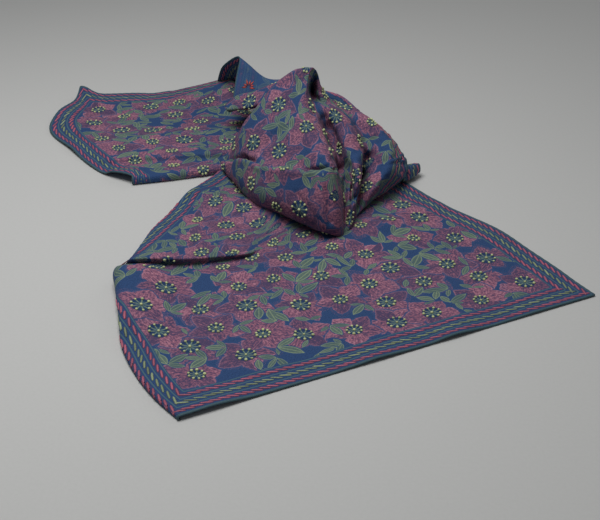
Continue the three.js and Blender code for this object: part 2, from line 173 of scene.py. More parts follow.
# The floor is a sheet of pale grey matt paper, far larger than the shawl.
floor_mesh = bpy.data.meshes.new("floor")
floor_mesh.from_pydata([(-6, -6, 0), (6, -6, 0), (6, 6, 0), (-6, 6, 0)], [], [(0, 1, 2, 3)])
floor = bpy.data.objects.new("floor", floor_mesh)
bpy.context.scene.collection.objects.link(floor)
paper, start, shader = new_finish("pale_paper")
grain = start.speckle(start.node("ShaderNodeTexCoord", {}, {}, 3), 260)
shader.inputs["Roughness"].default_value = 0.95
grain.colour((0.57, 0.57, 0.555, 1), (0.61, 0.61, 0.595, 1)).into(shader, "Base Color")
floor_mesh.materials.append(paper)

# The near end: embroidered silk spread flat, its left hem turned under along one stretch, with one long
# crease. It is two layers of navy silk quilted together with running stitch, and its flowers and leaves
# are filled with the same stitch.
WIDE, LONG = 560, 1900
SILK_WALL = 1.5
FRAME_MIDDLE = np.array([0.7, -13.2, 0])

# Across the shawl, at even steps from the near hem: left edge x, y, right edge x, y, turned under, radius
# of the turn.
NEAR_SECTIONS = [
    (-106, -458, 398, -220, 0, 2),
    (-135, -424, 381, -190, 0, 2),
    (-160, -385, 360, -153, 0, 2),
    (-183, -335, 334, -108, 0, 2),
    (-194, -283, 310, -67, 6, 8),
    (-207, -224, 288, -40, 22, 10),
    (-214, -188, 275, -27, 18, 9),
    (-201, -150, 262, -13, 0, 3),
    (-184, -74, 232, 17, 0, 2),
    (-167, -26, 208, 50, 0, 2),
    (-132, 55, 172, 108, 0, 2),
    (-91, 130, 140, 165, 0, 2),
]

# The folds: crest from x, y to x, y, height at both, spread in front and behind, lean, softness of the ends.
NEAR_FOLDS = [
    (-225, -158, -56, -117, 18, 8, 9, 60, 18, 0.2),
    (-205, -182, -62, -144, -4, -2, 8, 7, 0, 0.15),
    (-225, -195, -60, -150, 8, 0, 40, 16, 0, 0.5),
    (-20, -10, -130, 30, 12, 8, 30, 30, 0, 0.5),
    (70, -110, 45, -230, 6, 0, 14, 20, 0, 0.3),
    (100, -80, 215, 5, 7, 3, 16, 24, 0, 0.3),
    (-30, -118, 0, -205, 3, 1, 8, 16, 0, 0.5),
    (10, -255, 20, -330, 2, 1, 14, 18, 0, 0.6),
    (150, -60, 240, -70, 4, 2, 10, 18, 0, 0.5),
    (118, -352, 150, -300, 3, 1, 24, 24, 0, 0.8),
    (210, -306, 230, -262, 3, 1, 22, 22, 0, 0.8),
    (-60, -438, -20, -380, 2.5, 1, 22, 22, 0, 0.8),
    (-186, -300, -120, -270, 3, 1, 20, 26, 0, 0.6),
    (180, -100, 262, -150, 4, 1, 16, 22, 0, 0.5),
    (-120, -60, -30, -90, 5, 2, 16, 26, 2, 0.5),
]
TURNED_BAND = 64
SINK_LENGTH = 90
LEFT_BAND = 180


def between(rows, places):
    """Rows at places between the rows of a table: a cubic from row to row, whose slope at each row is half
    the step from the row before it to the row after, and which runs on straight past the first and last."""
    rows = np.asarray(rows, float)
    ends = np.concatenate([2 * rows[:1] - rows[1:2], rows, 2 * rows[-1:] - rows[-2:-1]])
    first = np.clip(places.astype(int), 0, len(rows) - 2)
    t = (places - first).reshape(-1, *[1] * (rows.ndim - 1))
    a, b, c, d = (ends[first + i] for i in range(4))
    enter, leave, rise = (c - a) / 2, (d - b) / 2, c - b
    return b + enter * t + (3 * rise - 2 * enter - leave) * t**2 + (enter + leave - 2 * rise) * t**3


def soft_step(t):
    """0 below 0 and 1 above 1, and three t squared less two t cubed between them."""
    t = np.clip(t, 0, 1)
    return t * t * (3 - 2 * t)


def turned_edge(along, under, roll):
    """How far in and how high the cloth lies at a length along it from a turned edge: flat for the length
    under, round a half circle of radius roll, then back over the top, sinking to the surface."""
    angle = np.clip((along - under) / roll, 0, math.pi)
    past = np.maximum(along - under - math.pi * roll, 0)
    far = roll + np.maximum(under - along, 0) - roll * np.sin(angle) + past
    return far, roll * (1 - np.cos(angle)) - 2 * roll * soft_step(past / SINK_LENGTH)


def raised(folds, x, y):
    """How high the folds of a table lift the cloth at x, y and how far they lean: for each a bell across its
    crest line, with its own spread on each side, faded at both ends, and all of them added up."""
    lift = np.zeros((3, *x.shape))
    for ax, ay, bx, by, high_a, high_b, front, back, lean, fade in folds:
        ex, ey = bx - ax, by - ay
        length = math.hypot(ex, ey)
        along = ((x - ax) * ex + (y - ay) * ey) / length**2
        across = ((y - ay) * ex - (x - ax) * ey) / length
        ends = soft_step((along + fade) / fade) * soft_step((1 + fade - along) / fade)
        share = ends * np.exp(-((across / np.where(across < 0, front, back)) ** 2))
        height = high_a + (high_b - high_a) * np.clip(along, 0, 1)
        lift += np.stack([height * share, lean * ey / length * share, -lean * ex / length * share])
    return lift


def ripples(u, v, wavelength, seed):
    """Soft unevenness from -1 to 1: the mean of eight sine waves in random directions, of about one
    wavelength."""
    chance = np.random.default_rng(seed)
    total = np.zeros(np.shape(u))
    for _ in range(8):
        way, phase = chance.uniform(0, 2 * math.pi, 2)
        length = wavelength * chance.uniform(0.7, 1.5)
        total += np.sin((u * math.cos(way) + v * math.sin(way)) * 2 * math.pi / length + phase)
    return total / 8


def lengths_along(points, axis):
    """Length along the grid lines of an axis from their first point, by adding up the steps."""
    steps = np.linalg.norm(np.diff(points, axis=axis), axis=-1)
    return np.insert(np.cumsum(steps, axis=axis), 0, 0, axis=axis)


def normals_of(points):
    """Unit normals of a grid: the cross product of its two directions at each point."""
    normal = np.cross(np.gradient(points, axis=1), np.gradient(points, axis=0))
    return normal / np.maximum(np.linalg.norm(normal, axis=-1, keepdims=True), 1e-9)


rows = np.concatenate([np.linspace(0, 5, 62)[:-1], np.linspace(5, 8, 69)[:-1], np.linspace(8, 11, 32)])
along = np.concatenate([np.linspace(0, TURNED_BAND, 26)[:-1], np.linspace(TURNED_BAND, WIDE, 136)])
sections = between(NEAR_SECTIONS, rows)
lx, ly, rx, ry, under, roll = (column[:, None] for column in sections.T)
far, lift = turned_edge(along[None], under, roll)
over_top = turned_edge(np.full((1, 1), WIDE), under, roll)[0]
share = far / over_top * (1 - roll / np.hypot(rx - lx, ry - ly) * soft_step(1 - along / TURNED_BAND))
x, y = lx + (rx - lx) * share, ly + (ry - ly) * share
on_top = soft_step((along - under) / np.maximum(math.pi * roll, 1))
up, dx, dy = raised(NEAR_FOLDS, x, y) * on_top
up = up + (1 + ripples(x, y, 95, 1)) * 1.1 * on_top + (1 + ripples(x, y, 34, 2)) * 0.35 * on_top
near_points = np.stack([x + dx, y + dy, SILK_WALL / 2 + lift + up], axis=-1)


def flattened(points, flat, held, give=None):
    """The flat places of a grid, let drift until the steps between neighbours, straight and slanting, are as
    long as those on the dropped cloth: between every eighth grid point first, then between nearer ones. held
    puts hems back in their place after each round, and a step counts for less where give is small. Grid
    sizes are a multiple of eight, plus one."""
    give = np.ones(flat.shape[:2]) if give is None else give
    families = ((0, 0, 1, 0), (0, 0, 0, 1), (0, 0, 1, 1), (0, 1, 1, 0))
    fine = [
        np.linalg.norm(points[1:] - points[:-1], axis=-1),
        np.linalg.norm(points[:, 1:] - points[:, :-1], axis=-1),
        np.linalg.norm(points[1:, 1:] - points[:-1, :-1], axis=-1),
        np.linalg.norm(points[1:, :-1] - points[:-1, 1:], axis=-1),
    ]
    for k, rounds in ((8, 500), (4, 250), (2, 120)):
        coarse, weights = flat[::k, ::k].copy(), give[::k, ::k]
        down, across = coarse.shape[0] - 1, coarse.shape[1] - 1
        lengths = [
            sum(fine[0][m::k, ::k][:down] for m in range(k)),
            sum(fine[1][::k, m::k][:, :across] for m in range(k)),
            sum(fine[2][m::k, m::k][:down, :across] for m in range(k)),
            sum(fine[3][m::k, k - 1 - m :: k][:down, :across] for m in range(k)),
        ]
        before = coarse.copy()
        for _ in range(rounds):
            move, count = np.zeros_like(coarse), np.full(coarse.shape[:2], 1e-6)
            for (a, b, c, d), length in zip(families, lengths):
                rows, columns = length.shape
                start = slice(a, a + rows), slice(b, b + columns)
                end = slice(c, c + rows), slice(d, d + columns)
                step = coarse[end] - coarse[start]
                now = np.maximum(np.linalg.norm(step, axis=-1), 1e-6)
                weight = weights[start] * weights[end]
                pull = ((now - length) / now * weight / 2)[..., None] * step
                move[start] += pull
                move[end] -= pull
                count[start] += weight
                count[end] += weight
            coarse += 1.6 * move / count[..., None]
            held(coarse)
        change = coarse - before
        for axis in (0, 1):
            places = np.arange((change.shape[axis] - 1) * k + 1) / k
            first = np.minimum(places.astype(int), change.shape[axis] - 2)
            part = (places - first).reshape((-1, 1, 1) if axis == 0 else (1, -1, 1))
            change = np.take(change, first, axis) * (1 - part) + np.take(change, first + 1, axis) * part
        flat = flat + change
        held(flat)
    return flat


# Where each point lies on the flat cloth: measured from both long hems, with the spare width taken up
# under the gather.
from_left = lengths_along(near_points, 1)
left_steps, right_steps = (lengths_along(sections[:, None, edge : edge + 2], 0)[:, 0] for edge in (0, 2))
gather_share, gather_half = 0.56, 0.5 - 0.38 * soft_step((rows[:, None] - 5) / 3)
mixing = soft_step((share - gather_share + gather_half) / (2 * gather_half))
u = from_left + mixing * (WIDE - from_left[:, -1:])
v = left_steps[:, None] * (1 - share) + right_steps[:, None] * share
near_flat = np.stack([u, v], axis=-1)


def near_hems_held(flat):
    """The near end keeps its left, right and near hems."""
    flat[:, 0, 0], flat[:, -1, 0], flat[0, :, 1] = 0, WIDE, 0


hidden = soft_step((rows[:, None] - 6.2) / 1.2)
hidden = hidden * soft_step((share - 0.28) / 0.1) * soft_step((0.86 - share) / 0.1)
near_flat = flattened(near_points, near_flat, near_hems_held, 1 - 0.97 * hidden)
near_flat[..., 0] += (from_left - near_flat[..., 0]) * (1 - soft_step(along / LEFT_BAND))


def scattered(spacing, margin, seed, tries=9000):
    """Places on the flat cloth inside a margin, none nearer to another than the spacing: random places are
    kept in turn where they are clear of all those kept before."""
    chance = np.random.default_rng(seed)
    kept = np.empty((0, 2))
    for place in chance.uniform((margin, margin), (WIDE - margin, LONG - margin), (tries, 2)):
        if not len(kept) or np.min(np.sum((kept - place) ** 2, axis=1)) > spacing**2:
            kept = np.vstack([kept, place])
    return kept


# The flowers: middles, the turn of each, and a random number each, which also gives the radius of its ring
# of knots.
FLOWER_SPACING, FLOWER_MARGIN = 45, 53
RING_LEAST, RING_MORE = 7.5, 4.5
flowers = scattered(FLOWER_SPACING, FLOWER_MARGIN, 11)
chance = np.random.default_rng(12)
flower_turns = chance.uniform(0, 2 * math.pi, len(flowers))
flower_seeds = chance.uniform(0, 1, len(flowers))
ring_radii = RING_LEAST + RING_MORE * flower_seeds

# The leaves lie between the flowers, up to three to a sprig: middle, angle, half length, half width, random
# number. A sprig's foot and each leaf's middle keep clear of the flowers, and leaves of each other.
SPRIG_SPACING, SPRIG_MARGIN, SPRIG_CLEAR = 20, 38, 26.5
LEAF_MARGIN, LEAF_CLEAR, LEAF_APART = 30, 19, 8.5


def squares_between(places, others):
    """The square of the distance from each place to each of some others."""
    return np.sum((places[:, None] - others[None]) ** 2, axis=2)


def clear_of_flowers(places, distance):
    """Whether each place is further from all flowers than a distance."""
    return np.sqrt(np.min(squares_between(places, flowers), axis=1)) > distance


sprigs = scattered(SPRIG_SPACING, SPRIG_MARGIN, 17, 14000)
sprigs = sprigs[clear_of_flowers(sprigs, SPRIG_CLEAR)]
turns = chance.uniform(0, 2 * math.pi, len(sprigs))
spreads = [way * chance.uniform(0.8, 1.5, len(sprigs)) for way in (1, -1)]
leaf_angles = np.concatenate([turns, *(turns + spread for spread in spreads)])
leaf_halves = np.concatenate([chance.uniform(*sizes, len(sprigs)) for sizes in ((11, 18), (9, 14), (7, 12))])
leaf_widths = leaf_halves * chance.uniform(0.28, 0.46, len(leaf_halves))
leaf_ways = np.stack([np.cos(leaf_angles), np.sin(leaf_angles)], axis=-1)
leaf_middles = np.tile(sprigs, (3, 1)) + leaf_halves[:, None] * leaf_ways
leaf_seeds = chance.uniform(0, 1, len(leaf_halves))
leaf_far = (WIDE - LEAF_MARGIN, LONG - LEAF_MARGIN)
kept_leaves = np.all((leaf_middles > LEAF_MARGIN) & (leaf_middles < leaf_far), axis=1)
kept_leaves &= ~np.any(np.tril(squares_between(leaf_middles, leaf_middles) < LEAF_APART**2, -1), axis=1)
kept_leaves &= clear_of_flowers(leaf_middles, LEAF_CLEAR)
leaf_angles, leaf_halves, leaf_widths, leaf_middles, leaf_seeds = (
    part[kept_leaves] for part in (leaf_angles, leaf_halves, leaf_widths, leaf_middles, leaf_seeds)
)


def turned_back(offset, angle):
    """The two parts of an offset along axes that are turned by an angle."""
    cos, sin = np.cos(angle), np.sin(angle)
    return offset[..., 0] * cos + offset[..., 1] * sin, offset[..., 1] * cos - offset[..., 0] * sin


def motif_places(corners):
    """For the corners of each face, as (face, corner, u v): the places in its three nearest flowers, always
    in the order of the table so that neighbouring faces lay them over each other alike, and in its nearest
    leaf, in half lengths and half widths."""
    middles = corners.mean(axis=1)
    flower_parts, leaf_parts = [], []
    for part in np.array_split(np.arange(len(corners)), max(len(corners) // 4000, 1)):
        square = squares_between(middles[part], flowers)
        order = np.sort(np.argpartition(square, 3, axis=1)[:, :3], axis=1)
        offset = corners[part][:, None] - flowers[order][:, :, None]
        turned = turned_back(offset, flower_turns[order][..., None])
        flower_parts.append(np.stack([*turned, flower_seeds[order][..., None] + 0 * turned[0]], -1))
        along, across = turned_back(middles[part][:, None] - leaf_middles[None], leaf_angles[None])
        leaf = np.argmin((along / leaf_halves) ** 2 + np.abs(across / leaf_widths), axis=1)
        along, across = turned_back(corners[part] - leaf_middles[leaf][:, None], leaf_angles[leaf][:, None])
        places = along / leaf_halves[leaf][:, None], across / leaf_widths[leaf][:, None]
        leaf_parts.append(np.stack([*places, leaf_seeds[leaf][:, None] + 0 * along], -1))
    return np.concatenate(flower_parts), np.concatenate(leaf_parts)


def silk_sheet(name, points, flat, finishes, hems):
    """A sheet of quilted silk on a grid of points in millimetres, whose places on the flat cloth are given,
    with a wall. Its faces turn towards the side that the grid's two directions make by the right hand
    rule."""
    across = points.shape[1]
    count = (points.shape[0] - 1) * (across - 1)
    first = (np.arange(points.shape[0] - 1)[:, None] * across + np.arange(across - 1)[None]).ravel()
    quads = np.stack([first, first + 1, first + across + 1, first + across], axis=1)
    mesh = bpy.data.meshes.new(name)
    mesh.vertices.add(points.shape[0] * across)
    mesh.vertices.foreach_set("co", ((points - FRAME_MIDDLE) / 1000).ravel())
    mesh.loops.add(4 * count)
    mesh.loops.foreach_set("vertex_index", quads.ravel())
    mesh.polygons.add(count)
    mesh.polygons.foreach_set("loop_start", np.arange(count) * 4)
    mesh.polygons.foreach_set("loop_total", np.full(count, 4))
    mesh.polygons.foreach_set("use_smooth", np.ones(count, bool))
    mesh.update(calc_edges=True)
    corners = flat.reshape(-1, 2)[quads]
    mesh.uv_layers.new(name="cloth").data.foreach_set("uv", (corners / 1000).ravel())
    three, leaf = motif_places(corners)
    for label, values in (*((f"flower_{number}", three[:, number]) for number in range(3)), ("leaf", leaf)):
        mesh.attributes.new(label, "FLOAT_VECTOR", "CORNER").data.foreach_set("vector", values.ravel())
    mesh.attributes.new("hem", "FLOAT", "CORNER").data.foreach_set("value", hems.reshape(-1)[quads].ravel())
    for finish in finishes:
        mesh.materials.append(finish)
    sheet = bpy.data.objects.new(name, mesh)
    bpy.context.scene.collection.objects.link(sheet)
    wall = sheet.modifiers.new("two layers", "SOLIDIFY")
    wall.thickness = SILK_WALL / 1000
    wall.offset = 0
    wall.material_offset = len(finishes) - 1
    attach(sheet, "root")
    return sheet


KNOTS_A_RING = 9
NAVY = (0.032, 0.078, 0.200, 1)
NAVY_DARK = (0.014, 0.032, 0.095, 1)
ROSE = (0.310, 0.122, 0.185, 1)
ROSE_PALE = (0.520, 0.245, 0.320, 1)
MAUVE = (0.080, 0.058, 0.130, 1)
SAGE = (0.080, 0.132, 0.138, 1)
SAGE_PALE = (0.260, 0.335, 0.205, 1)
LINE_TEAL = (0.085, 0.165, 0.185, 1)
DISC = (0.017, 0.045, 0.125, 1)
REVERSE_BLUE = (0.040, 0.100, 0.230, 1)


def kantha_silk(name, plain):
    """Quilted silk with the whole pattern. plain goes from 0, the face, to 1, the reverse, where the thread
    hardly shows.

    A flower is five or six petals, each a pointed lens about its own middle line: half its width is a product
    that rises along it and falls to nothing at its tip. Its thread is noise drawn out along the petal, and a
    finer one over it. Its heart is a dark disc with thin rays. A leaf is a lens with a vein. The border is
    stripes by the distance from the hem.
    """
    finish, start, shader = new_finish(name)
    where = start.node("ShaderNodeUVMap", {"uv_map": "cloth"}, {})
    leaf_x, leaf_y, leaf_seed = start.carried("leaf", 1).parts()
    hem = start.carried("hem", 2)
    fine = start.speckle(where, 620, 3)
    fleck = start.speckle(where, 330, 1)
    middle = start.speckle(where, 150, 2)

    # Petals of the three nearest flowers, the later ones over the earlier: dusty rose thread on mauve, a
    # pale line round each.
    ground_thread = fine.past(0.55, 0.2) * 0.6
    colour = ground_thread.colour(NAVY, NAVY_DARK)
    in_flower, hearts = 0, []
    for number in range(3):
        flower_x, flower_y, seed = start.carried(f"flower_{number}", 1).parts()
        radius = (flower_x * flower_x + flower_y * flower_y).taken("SQRT")
        petals = 5 + (seed * 7).taken("FRACT").past(0.5, 0.001)
        turn = start.math("ARCTAN2", flower_y, flower_x)
        sector = turn * petals / (2 * math.pi) + 8
        petal = sector.taken("FLOOR")
        angle = (sector - petal - 0.5) * 2 * math.pi / petals
        # own and tone are a random number for each petal. tone sets the petal's width and lightens or darkens
        # all its thread: that lightness, different from petal to petal, is painted sheen of the silk along
        # each petal's stitches.
        own, tone = (
            start.node("ShaderNodeTexWhiteNoise", {"noise_dimensions": "1D"}, {"W": petal + seed * spread})
            for spread in (917, 523)
        )
        length = 29 + 14 * own + (middle - 0.5) * 6
        along = angle.taken("COSINE") * radius / length
        across = angle.taken("SINE") * radius
        drawn_out = {0: along * length * 0.13, 1: across * 0.62, 2: petal + seed * 50}
        streak = start.speckle(start.node("ShaderNodeCombineXYZ", {}, drawn_out), 1)
        across = across.taken("ABSOLUTE")
        lens = (1 - along) * (0.26 + along * 1.25) * (0.72 + 0.3 * tone)
        depth = (lens * length - across) * 0.75 + (fleck - 0.5) * 1.2
        in_petal = depth.past(0, 0.5)
        # tone * 0.7 is the painted sheen: the whole petal's thread lighter or darker.
        thread = streak.past(0.5, 0.3) * 0.55 + fleck.past(0.5, 0.22) * 0.42 + fine * 0.5 - 0.72 + tone * 0.7
        outline = (1 - depth.past(1.3, 0.7)) * (0.15 + 0.35 * own)
        petal_colour = outline.colour(thread.past(0.4, 0.55).colour(MAUVE, ROSE), ROSE_PALE)
        petal_colour = (thread.past(0.82, 0.4) * 0.85).colour(petal_colour, ROSE_PALE)
        colour = (depth.past(-2.2, 0.8) * 0.9).colour(colour, NAVY)
        colour = in_petal.colour(colour, petal_colour)
        in_flower = in_petal + in_flower
        hearts.append((radius, seed * RING_MORE + RING_LEAST, turn * KNOTS_A_RING))

    # The dark disc at each flower's middle, with rays out to the knots.
    for radius, ring, turn in hearts:
        disc = 1 - (radius - ring).past(1.6, 0.8)
        rays = turn.taken("COSINE").past(0.72, 0.4) * (1 - (radius - ring).past(-0.5, 0.5))
        colour = disc.colour(colour, DISC)
        core = (1 - (radius - ring).past(-4.5, 2.5)) * (0.2 + fleck.past(0.5, 0.3) * 0.6)
        colour = (core * disc).colour(colour, LINE_TEAL)
        colour = (rays * disc * 0.8).colour(colour, SAGE_PALE)

    # Leaves, with a navy edge round each.
    lens = 1 - leaf_x * leaf_x
    leaf_side = leaf_y.taken("ABSOLUTE")
    leaf_depth = (lens - leaf_side) * 4 + (middle - 0.5) * 0.9
    colour = leaf_depth.past(-1.0, 0.5).colour(colour, NAVY)
    vein = (1 - leaf_side.past(0.10, 0.1)) + (1 - leaf_depth.past(0.9, 0.5))
    leaf_tone = fine * 0.5 + fleck.past(0.5, 0.4) * 0.2 + vein * 0.6 + leaf_seed * 0.3 - 0.4
    colour = leaf_depth.past(0, 0.4).colour(colour, leaf_tone.past(0.5, 0.9).colour(SAGE, SAGE_PALE))

    # The border, by the distance from the hem: its ground, thin teal lines between its rows of stitches, and
    # a mauve band under each rose row.
    on_border = 1 - hem.past(37, 0.5)
    border = ground_thread.colour(NAVY, NAVY_DARK)
    for line in (1.6, 12.6, 24, 35.4):
        border = (0.85 * hem.near(line, 0.75, 0.5)).colour(border, LINE_TEAL)
    for edge in (7, 29.6):
        border = (0.35 * hem.near(edge, 3.2, 0.8)).colour(border, MAUVE)
    colour = on_border.colour(colour, border)

    # Running stitch all over, in rows along the shawl.
    u_place, v_place, _ = (1000 * part for part in where.parts())
    row = u_place / 2.1
    dash = v_place / 4.2 + row.taken("FLOOR") * 0.5
    row_bump, dash_bump = ((place * 2 * math.pi).taken("SINE") for place in (row, dash))
    height = row_bump * 0.25 + dash_bump * 0.25 + fine * 0.8 + in_flower * 0.4 + middle * 0.8
    if plain:
        for line, stripe in ((7, ROSE), (18.3, SAGE_PALE), (29.6, ROSE)):
            border = (hem.near(line, 2.2, 2.5) * middle.past(0.55, 0.3) * 0.6).colour(border, stripe)
        colour = on_border.colour(colour, border)
        faint = dash_bump.past(0.2, 0.6) * fine.past(0.5, 0.3) * 0.5
        ground = ground_thread.colour(REVERSE_BLUE, NAVY)
        colour = (faint * plain + (1 - plain) + 0.1 * on_border).colour(ground, colour)
    colour.into(shader, "Base Color")
    height.raises(shader, 0.55, 0.0006)
    shader.inputs["Roughness"].default_value = 0.8
    shader.inputs["Sheen Weight"].default_value = 0.03
    shader.inputs["Sheen Roughness"].default_value = 0.5
    shader.inputs["Specular IOR Level"].default_value = 0.18
    return finish


kantha_face = kantha_silk("kantha_face", 0)
kantha_reverse = kantha_silk("kantha_reverse", 0.8)


def from_hems(flat, right=True, near=True, far=True):
    """Distance on the flat cloth to the nearest of its left hem and those of its others that are there."""
    reach = flat[..., 0]
    for there, side in ((right, WIDE - flat[..., 0]), (near, flat[..., 1]), (far, LONG - flat[..., 1])):
        if there:
            reach = np.minimum(reach, side)
    return reach


FACE_UP = [kantha_face, kantha_reverse]
near_end = silk_sheet("near_end_cloth", near_points, near_flat, FACE_UP, from_hems(near_flat, far=False))

KNOT_RADIUS, KNOT_MARGIN, KNOT_SIDES = 2.05, 38, 6
LEAST_OPEN, MOST_OPEN = 0.55, 1.8
STITCH_LENGTH, STITCH_WIDTH, STITCH_TILT = 18, 4.2, math.radians(19)
STITCH_ROWS = ((7, "rose"), (18.3, "green"), (29.6, "rose"))
STITCH_REACH = 52
ROPE = {"rose": (0.640, 0.150, 0.215), "green": (0.370, 0.450, 0.225)}
KNOT_GREEN = (0.840, 0.920, 0.420)
CLEAR_OF_FLOOR = 0.2
NO_OTHER_HEM = 99


def on_cloth(points, fields, targets):
    """Places and normals on a grid of points where its two fields have the target values, and whether each
    was found: the nearest grid point, and from there a straight step that makes up the rest."""
    grid = fields.reshape(-1, 2)
    nearest = np.concatenate([
        np.argmin(np.sum((part[:, None] - grid[None]) ** 2, axis=2), axis=1)
        for part in np.array_split(targets, max(len(targets) * len(grid) // 4_000_000, 1))
    ])
    rest = targets - grid[nearest]
    down, across = (step.reshape(-1, 2)[nearest] for step in np.gradient(fields, axis=(0, 1)))
    area = down[:, 0] * across[:, 1] - down[:, 1] * across[:, 0]
    area = np.where(np.abs(area) < 1e-3, 1e-3, area)
    a = np.clip((rest[:, 0] * across[:, 1] - rest[:, 1] * across[:, 0]) / area, -1.5, 1.5)[:, None]
    b = np.clip((down[:, 0] * rest[:, 1] - down[:, 1] * rest[:, 0]) / area, -1.5, 1.5)[:, None]
    found = np.linalg.norm(rest, axis=1) < 4
    results = []
    for grid_values in (points, normals_of(points)):
        steps = np.gradient(grid_values, axis=(0, 1))
        down_step, across_step = (step.reshape(-1, 3)[nearest] for step in steps)
        results.append(grid_values.reshape(-1, 3)[nearest] + a * down_step + b * across_step)
    return results[0], results[1] / np.linalg.norm(results[1], axis=1, keepdims=True), found


def sewn_shapes(name, vertices, faces, colours, finish):
    """One mesh of many like shapes: their vertices as (shape, vertex, xyz) in millimetres, the faces of one,
    and each one's colour."""
    shapes, count = vertices.shape[:2]
    mesh = bpy.data.meshes.new(name)
    every = [(np.asarray(face) + count * i).tolist() for i in range(shapes) for face in faces]
    mesh.from_pydata(((vertices.reshape(-1, 3) - FRAME_MIDDLE) / 1000).tolist(), [], every)
    mesh.polygons.foreach_set("use_smooth", np.ones(len(mesh.polygons), bool))
    tints = np.repeat(np.concatenate([colours, np.ones((shapes, 1))], axis=1), count, axis=0)
    mesh.attributes.new("thread", "FLOAT_COLOR", "POINT").data.foreach_set("color", tints.ravel())
    mesh.materials.append(finish)
    made = bpy.data.objects.new(name, mesh)
    bpy.context.scene.collection.objects.link(made)
    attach(made, "root")
    return made


def thread_finish():
    """Soft twisted silk thread, in the colour that each stitch carries, a little darker here and there."""
    finish, start, shader = new_finish("silk_thread")
    where = start.node("ShaderNodeTexCoord", {}, {}, 3)
    twist = start.speckle(where, 900)
    (twist.past(0.45, 0.6) * 0.5).colour(start.carried("thread", 0), NAVY_DARK).into(shader, "Base Color")
    twist.raises(shader, 0.5, 0.0004)
    shader.inputs["Roughness"].default_value = 0.6
    return finish


silk_thread = thread_finish()


def knots(name, points, flat):
    """The rings of knots of the flowers on a stretch: low six-sided domes round each flower's middle and one
    in it, left out where the cloth is squeezed between folds, so that its cells on the grid and on the flat
    cloth differ in area."""
    turn = 2 * math.pi * np.arange(KNOTS_A_RING) / KNOTS_A_RING
    angles = flower_turns[:, None] + turn[None]
    ring = flowers[:, None] + ring_radii[:, None, None] * np.stack([np.cos(angles), np.sin(angles)], axis=-1)
    targets = np.concatenate([ring, flowers[:, None]], axis=1).reshape(-1, 2)
    furthest = (WIDE - KNOT_MARGIN, LONG - KNOT_MARGIN)
    targets = targets[np.all((targets > KNOT_MARGIN) & (targets < furthest), axis=1)]
    middles, normals, found = on_cloth(points, flat, targets)
    cell = np.linalg.norm(np.cross(np.gradient(points, axis=1), np.gradient(points, axis=0)), axis=-1)
    flat_cell = np.abs(np.cross(np.gradient(flat, axis=1), np.gradient(flat, axis=0)))
    open_cloth, _, _ = on_cloth(np.repeat((flat_cell / cell)[..., None], 3, axis=2), flat, targets)
    found &= (open_cloth[:, 0] > LEAST_OPEN) & (open_cloth[:, 0] < MOST_OPEN)
    middles, normals = middles[found], normals[found]
    side = np.cross(normals, (0.3, 1, 0.1))
    side /= np.linalg.norm(side, axis=1, keepdims=True)
    front = np.cross(normals, side)
    chance = np.random.default_rng(21)
    size = KNOT_RADIUS * chance.uniform(0.8, 1.15, (len(middles), 1, 1))
    corners = np.arange(KNOT_SIDES) * 2 * math.pi / KNOT_SIDES
    profile = [(1, 0.0), (0.8, 0.75)]
    local = [(r * math.cos(t), r * math.sin(t), h) for r, h in profile for t in corners]
    local = np.array(local + [(0, 0, 1.05), (0, 0, 0)])[None] * size
    vertices = middles[:, None] + local[..., :1] * side[:, None] + local[..., 1:2] * front[:, None]
    vertices = vertices + (local[..., 2:] + SILK_WALL / 2 - 0.1) * normals[:, None]
    following = [(i, (i + 1) % KNOT_SIDES) for i in range(KNOT_SIDES)]
    faces = [(a, b, KNOT_SIDES + b, KNOT_SIDES + a) for a, b in following]
    faces += [(KNOT_SIDES + a, KNOT_SIDES + b, 2 * KNOT_SIDES) for a, b in following]
    faces += [(b, a, 2 * KNOT_SIDES + 1) for a, b in following]
    tints = np.array(KNOT_GREEN) * chance.uniform(0.7, 1.1, (len(middles), 1))
    above = vertices[..., 2].min(axis=1) > CLEAR_OF_FLOOR
    return sewn_shapes(name, vertices[above], faces, tints[above], silk_thread)


